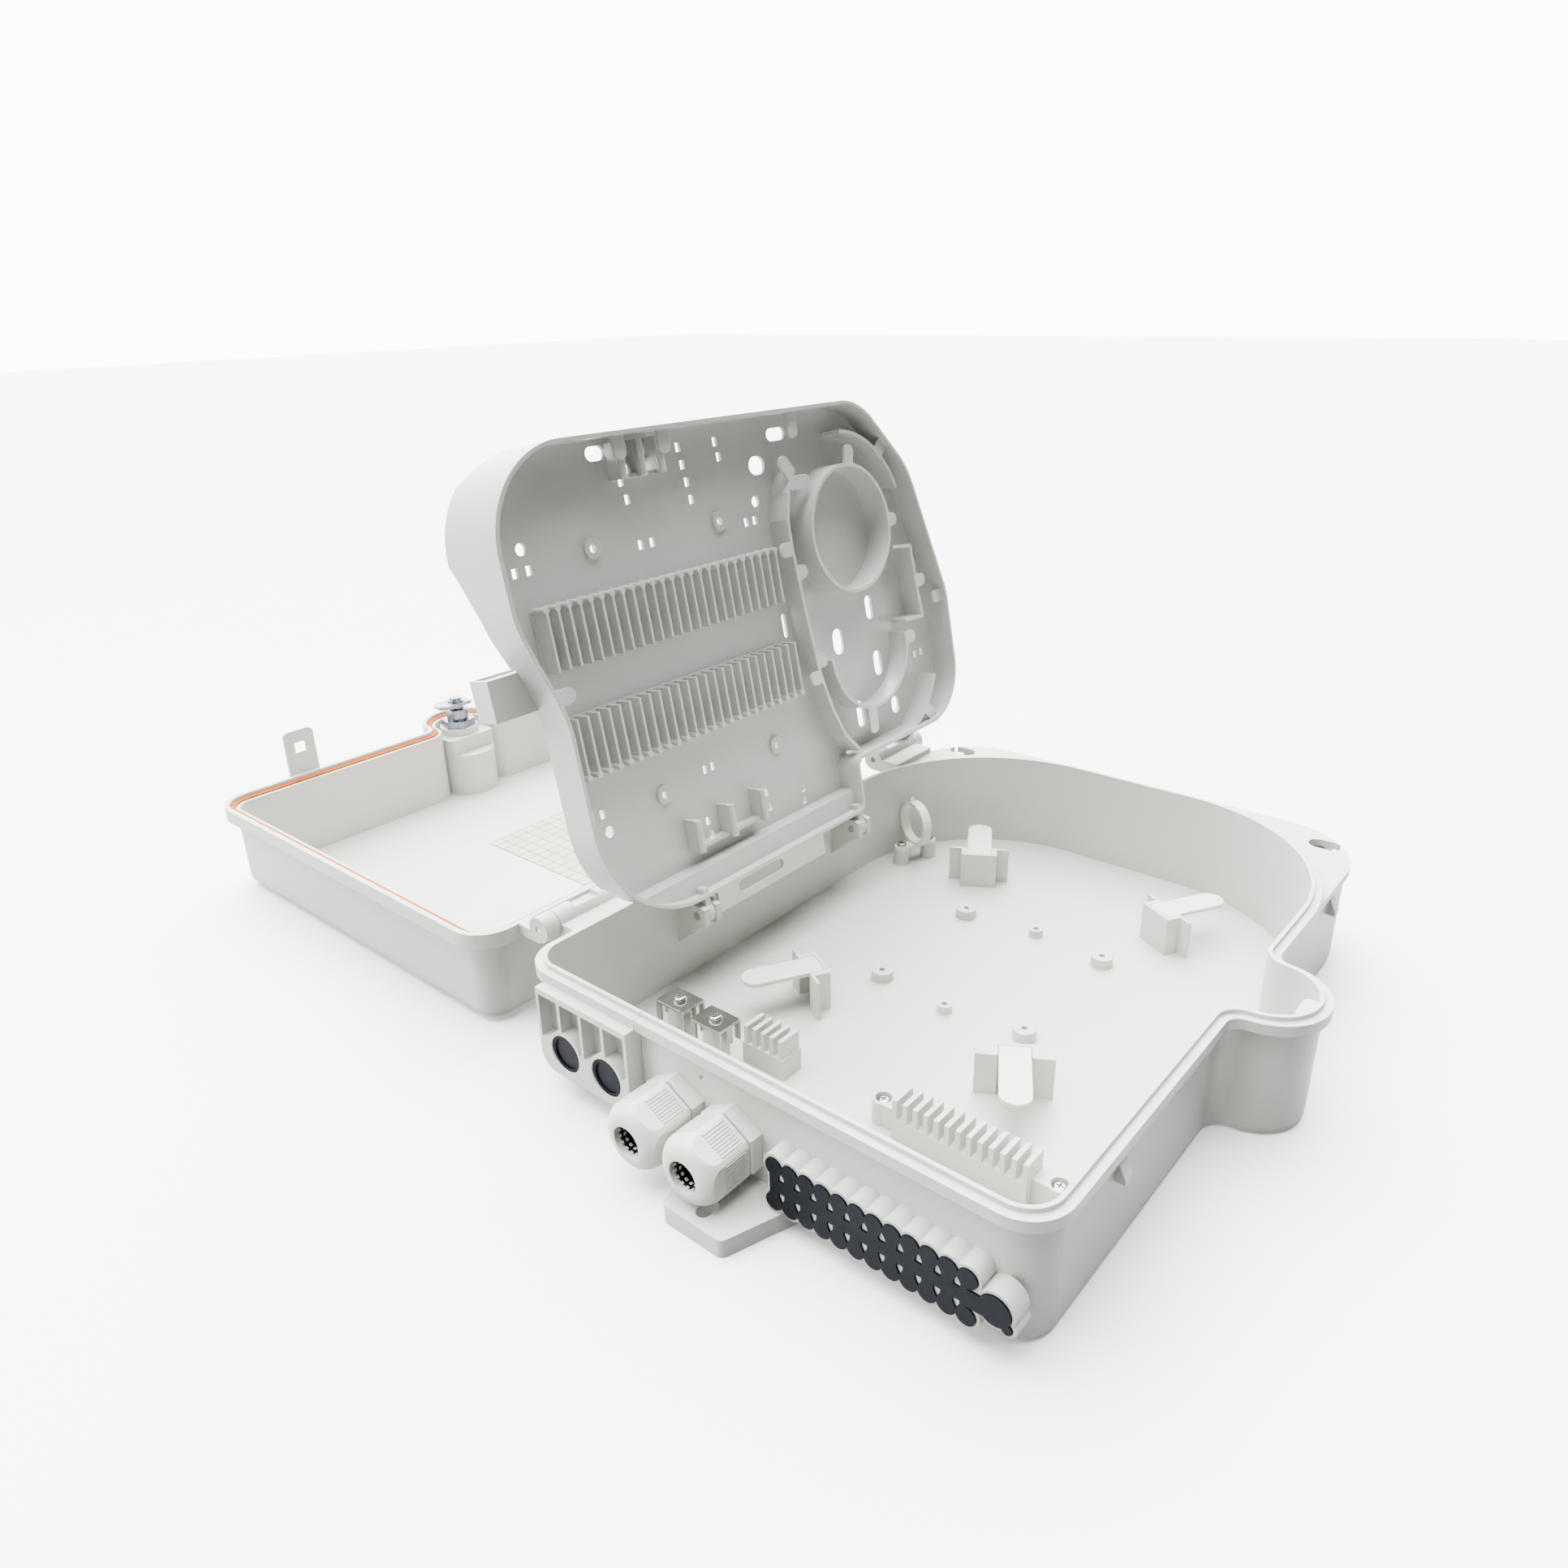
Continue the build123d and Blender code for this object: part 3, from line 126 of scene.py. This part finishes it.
# Each gland is a white nylon body with a hexagon flange, a locknut inside the wall, and a domed
# nut with fine grip ribs that squeezes a black sleeve through a ring of sprung claws.
gland_nylon = abs_plastic("gland_nylon", (0.56, 0.555, 0.51), (0.53, 0.527, 0.49), 0.36, 0.12)
finish_in(gland_nylon, "gland_body_1", "gland_body_2", "gland_nut_1", "gland_nut_2")
finish_in(gland_nylon, "gland_locknut_1", "gland_locknut_2")
sleeve_black = rubber("sleeve_black", (0.0015, 0.002, 0.003), (0.004, 0.0045, 0.006))
finish_in(sleeve_black, "gland_seal_1", "gland_seal_2")


def claw_ring(name, node, count=14):
    """Sprung claws just inside a gland nut's mouth, each a tapered finger with a rounded tip."""
    low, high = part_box(node)
    x, z = (low.x + high.x) / 2, (low.z + high.z) / 2
    # Tip to root: depth behind the mouth, inner and outer radius, half the finger's angle
    stations = [(0.0021, 0.0068, 0.0071, 0.07), (0.0030, 0.0065, 0.0071, 0.10)]
    stations += [(0.0045, 0.0061, 0.0072, 0.12), (0.0075, 0.0064, 0.0072, 0.14)]
    mesh = bpy.data.meshes.new(name)
    build = bmesh.new()
    for i in range(count):
        middle = 2 * pi * (i + 0.5) / count
        rows = []
        for depth, inner, outer, half in stations:
            row = []
            corners = [(inner, side) for side in (-1, -0.4, 0.4, 1)] + [(outer, 1), (outer, -1)]
            for radius, side in corners:
                turn = middle + side * half
                spot = (x + radius * cos(turn), low.y + depth, z + radius * sin(turn))
                row.append(build.verts.new(spot))
            rows.append(row)
        for near, far in zip(rows, rows[1:]):
            for j in range(6):
                build.faces.new((near[j], near[(j + 1) % 6], far[(j + 1) % 6], far[j]))
        build.faces.new(rows[0][::-1])
        build.faces.new(rows[-1])
    bmesh.ops.recalc_face_normals(build, faces=build.faces)
    build.to_mesh(mesh)
    build.free()
    ring = bpy.data.objects.new(name, mesh)
    bpy.context.collection.objects.link(ring)
    mesh.materials.append(gland_nylon)
    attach(ring, "base")


claw_ring("gland_claws_1", "gland_nut_1")
claw_ring("gland_claws_2", "gland_nut_2")


# The drop cables enter through one navy rubber moulding: two rows of small ports and one larger
# one. It is pressed into the scalloped collar, and each port is pierced when its cable is fed in.
finish_in(navy_rubber, "drop_port_seal")


# Inside, nickel-plated clamp plates, pan-head screws and the hinge pins are plain bright steel,
# tumbled and plated, a little duller in the bends.
def plated(name, colour, rough, streak):
    """Plated or cast metal with fine directional tumbling marks."""
    made = bpy.data.materials.new(name)
    made.use_nodes = True
    tree = made.node_tree
    skin = tree.nodes["Principled BSDF"]
    place = tree.nodes.new("ShaderNodeTexCoord")
    marks = tree.nodes.new("ShaderNodeTexNoise")
    marks.inputs["Scale"].default_value = 320.0
    marks.inputs["Detail"].default_value = 6.0
    shade = tree.nodes.new("ShaderNodeValToRGB")
    shade.color_ramp.elements[0].color = (colour[0] * 0.55, colour[1] * 0.55, colour[2] * 0.55, 1)
    shade.color_ramp.elements[1].color = (*colour, 1)
    relief = tree.nodes.new("ShaderNodeBump")
    relief.inputs["Strength"].default_value = streak
    relief.inputs["Distance"].default_value = 0.0001
    edge = tree.nodes.new("ShaderNodeBevel")
    edge.samples = 4
    edge.inputs["Radius"].default_value = 0.0003
    tree.links.new(place.outputs["Object"], marks.inputs["Vector"])
    tree.links.new(marks.outputs["Fac"], shade.inputs["Fac"])
    tree.links.new(shade.outputs["Color"], skin.inputs["Base Color"])
    tree.links.new(marks.outputs["Fac"], relief.inputs["Height"])
    tree.links.new(edge.outputs["Normal"], relief.inputs["Normal"])
    tree.links.new(relief.outputs["Normal"], skin.inputs["Normal"])
    skin.inputs["Metallic"].default_value = 1.0
    skin.inputs["Roughness"].default_value = rough
    return made


nickel = plated("nickel_plate", (0.50, 0.49, 0.46), 0.18, 0.12)
finish_in(nickel, "strength_clamp_1", "strength_clamp_2", "clamp_screws", "comb_screws", "ring_screws")
finish_in(nickel, "cover_hinge_pins", "tray_hinge_pins")


# The four fibre clips and the split cable ring are a creamier, more flexible plastic than the
# case. The clips push down into moulded sockets, and the ring's bar is held by two screws.
clip_cream = abs_plastic("clip_cream", (0.62, 0.605, 0.53), (0.59, 0.577, 0.51), 0.38, 0.12)
finish_in(clip_cream, "fibre_clip_1", "fibre_clip_2", "fibre_clip_3", "fibre_clip_4", "cable_ring")


# The cover is moulded in the same white ABS and swings on two steel pins. An orange foamed
# rubber cord is pressed into the channel that runs round inside its rim.
finish_in(case_white, "cover_shell")
foam_orange = rubber("foam_orange", (0.34, 0.075, 0.003), (0.42, 0.11, 0.006))
finish_in(foam_orange, "cover_gasket")


# The port chart is a cream paper label stuck inside the cover. It is ruled into rows and columns
# for the installer to fill in by hand; the ruling is thin grey ink.
def ruled_paper(name, low, high):
    """Cream paper with ink rules worked out from the label's own corners."""
    made = bpy.data.materials.new(name)
    made.use_nodes = True
    tree = made.node_tree
    skin = tree.nodes["Principled BSDF"]
    place = tree.nodes.new("ShaderNodeTexCoord")
    spread = tree.nodes.new("ShaderNodeSeparateXYZ")
    tree.links.new(place.outputs["Object"], spread.inputs["Vector"])
    ink = None
    rulings = [("X", low.x, high.x, 12, 0.035), ("Y", low.y, high.y, 11, 0.03)]
    for axis, start, end, cells, thick in rulings:
        scaled = tree.nodes.new("ShaderNodeMath")
        scaled.operation = "MULTIPLY_ADD"
        scaled.inputs[1].default_value = cells / (end - start)
        scaled.inputs[2].default_value = -start * cells / (end - start)
        tree.links.new(spread.outputs[axis], scaled.inputs[0])
        within = tree.nodes.new("ShaderNodeMath")
        within.operation = "PINGPONG"
        within.inputs[1].default_value = 0.5
        tree.links.new(scaled.outputs[0], within.inputs[0])
        line = tree.nodes.new("ShaderNodeMath")
        line.operation = "LESS_THAN"
        line.inputs[1].default_value = thick
        tree.links.new(within.outputs[0], line.inputs[0])
        if ink is None:
            ink = line
        else:
            both = tree.nodes.new("ShaderNodeMath")
            both.operation = "MAXIMUM"
            tree.links.new(ink.outputs[0], both.inputs[0])
            tree.links.new(line.outputs[0], both.inputs[1])
            ink = both
    fibres = tree.nodes.new("ShaderNodeTexNoise")
    fibres.inputs["Scale"].default_value = 500.0
    shade = tree.nodes.new("ShaderNodeValToRGB")
    shade.color_ramp.elements[0].color = (0.40, 0.37, 0.28, 1)
    shade.color_ramp.elements[1].color = (0.43, 0.40, 0.31, 1)
    tree.links.new(place.outputs["Object"], fibres.inputs["Vector"])
    tree.links.new(fibres.outputs["Fac"], shade.inputs["Fac"])
    blend = tree.nodes.new("ShaderNodeMix")
    blend.data_type = "RGBA"
    blend.inputs["B"].default_value = (0.05, 0.04, 0.02, 1)
    tree.links.new(ink.outputs[0], blend.inputs["Factor"])
    tree.links.new(shade.outputs["Color"], blend.inputs["A"])
    tree.links.new(blend.outputs["Result"], skin.inputs["Base Color"])
    skin.inputs["Roughness"].default_value = 0.7
    return made


chart_low, chart_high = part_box("port_chart")
finish_in(ruled_paper("ruled_paper", chart_low, chart_high), "port_chart")


# The cam lock passes through the cover's pillar: a zinc cylinder, a thin hexagon nut with a
# washer face, and a flat cam held on the square end by a screw.
zinc = plated("zinc_cast", (0.24, 0.27, 0.31), 0.26, 0.25)
finish_in(zinc, "lock_cylinder", "lock_nut", "lock_cam", "cam_screw")


# The splice tray is a thin white moulding that folds up on two short pins. Its two rows of
# splice slots are separate strips clipped to the panel, and a splitter pocket sits on its back.
tray_white = abs_plastic("tray_white", (0.48, 0.482, 0.46), (0.455, 0.457, 0.437), 0.36, 0.12)
finish_in(tray_white, "splice_tray", "splice_holder_upper", "splice_holder_lower")
finish_in(tray_white, "splitter_pocket")


# The box stands on a plain pale studio floor, a wide matte sheet that runs out past the view.
# Diffuse light doesn't see the sheet, so the walls keep the shade that they have in the photograph.
def studio_floor():
    """A wide pale sheet with the faintest mottle."""
    mesh = bpy.data.meshes.new("floor")
    mesh.from_pydata([(-8, -8, 0), (8, -8, 0), (8, 8, 0), (-8, 8, 0)], [], [(0, 1, 2, 3)])
    sheet = bpy.data.objects.new("floor", mesh)
    bpy.context.collection.objects.link(sheet)
    pale = bpy.data.materials.new("floor_pale")
    pale.use_nodes = True
    tree = pale.node_tree
    skin = tree.nodes["Principled BSDF"]
    place = tree.nodes.new("ShaderNodeTexCoord")
    mottle = tree.nodes.new("ShaderNodeTexNoise")
    mottle.inputs["Scale"].default_value = 3.0
    shade = tree.nodes.new("ShaderNodeValToRGB")
    shade.color_ramp.elements[0].color = (0.90, 0.90, 0.90, 1)
    shade.color_ramp.elements[1].color = (0.93, 0.93, 0.93, 1)
    tree.links.new(place.outputs["Object"], mottle.inputs["Vector"])
    tree.links.new(mottle.outputs["Fac"], shade.inputs["Fac"])
    tree.links.new(shade.outputs["Color"], skin.inputs["Base Color"])
    skin.inputs["Roughness"].default_value = 0.9
    mesh.materials.append(pale)
    sheet.visible_diffuse = False


studio_floor()


# The studio's light is broad and white: a bright backdrop behind the box, a dimmer room that
# falls off towards the lock side, a soft lamp on the left and an even one from overhead.
world = bpy.data.worlds.new("studio")
bpy.context.scene.world = world
world.use_nodes = True
sky = world.node_tree


def graded(source, low, high, out_low, out_high):
    """One reading of the view direction, eased into a strength of light."""
    ease = sky.nodes.new("ShaderNodeMapRange")
    ease.interpolation_type = "SMOOTHSTEP"
    ease.inputs["From Min"].default_value = low
    ease.inputs["From Max"].default_value = high
    ease.inputs["To Min"].default_value = out_low
    ease.inputs["To Max"].default_value = out_high
    sky.links.new(source, ease.inputs["Value"])
    return ease.outputs["Result"]


def joined(kind, first, second):
    """Two strengths of light made one."""
    mixed = sky.nodes.new("ShaderNodeMath")
    mixed.operation = kind
    sky.links.new(first, mixed.inputs[0])
    sky.links.new(second, mixed.inputs[1])
    return mixed.outputs[0]


facing = sky.nodes.new("ShaderNodeTexCoord")
axes = sky.nodes.new("ShaderNodeSeparateXYZ")
backdrop = sky.nodes.new("ShaderNodeVectorMath")
backdrop.operation = "DOT_PRODUCT"
backdrop.inputs[1].default_value = (-0.65, 0.76, 0)
sky.links.new(facing.outputs["Generated"], axes.inputs["Vector"])
sky.links.new(facing.outputs["Generated"], backdrop.inputs[0])
room = joined("MULTIPLY", graded(axes.outputs["X"], -0.4, 0.7, 2.0, 0.15),
              graded(axes.outputs["Z"], -0.15, 0.1, 0.8, 1.0))
glow = graded(backdrop.outputs["Value"], 0.4, 0.8, 0.0, 13.0)
sky.links.new(joined("MAXIMUM", room, glow), sky.nodes["Background"].inputs["Strength"])
sky.nodes["Background"].inputs["Color"].default_value = (1, 1, 1, 1)
lamp_at, lamp_aim = Vector((-0.8, -0.95, 0.55)), Vector((-0.3, -0.1, 0.1))
lamp = bpy.data.lights.new("left_light", "AREA")
lamp.shape = "SQUARE"
lamp.size = 0.6
lamp.energy = 13
left = bpy.data.objects.new("left_light", lamp)
bpy.context.collection.objects.link(left)
left.location = lamp_at
left.rotation_euler = (lamp_aim - lamp_at).to_track_quat("-Z", "Y").to_euler()
high = bpy.data.lights.new("high_light", "SUN")
high.energy = 21.0
high.angle = radians(75)
above = bpy.data.objects.new("high_light", high)
bpy.context.collection.objects.link(above)
above.rotation_euler = Vector((0.3, -0.1, -1)).to_track_quat("-Z", "Y").to_euler()


# The camera stands low at the lock-side front corner, turned, tipped and leaned as the photograph
# was taken, with the lens that the box's own edges and circles gave.
turn, tip, lean = radians(-40.526), radians(23.247), radians(1.250)
ahead = Vector((sin(turn) * cos(tip), cos(turn) * cos(tip), -sin(tip)))
level = Vector((cos(turn), -sin(turn), 0))
plumb = ahead.cross(level)
across = cos(lean) * level + sin(lean) * plumb
down = -sin(lean) * level + cos(lean) * plumb
lens = bpy.data.cameras.new("camera")
lens.sensor_width = 36
lens.lens = 26.32
lens.clip_start = 0.01
camera = bpy.data.objects.new("camera", lens)
bpy.context.collection.objects.link(camera)
stand = Matrix.Translation(Vector((0.2638, -0.4668, 0.3517)))
camera.matrix_world = stand @ Matrix((across, -down, -ahead)).transposed().to_4x4()
bpy.context.scene.camera = camera
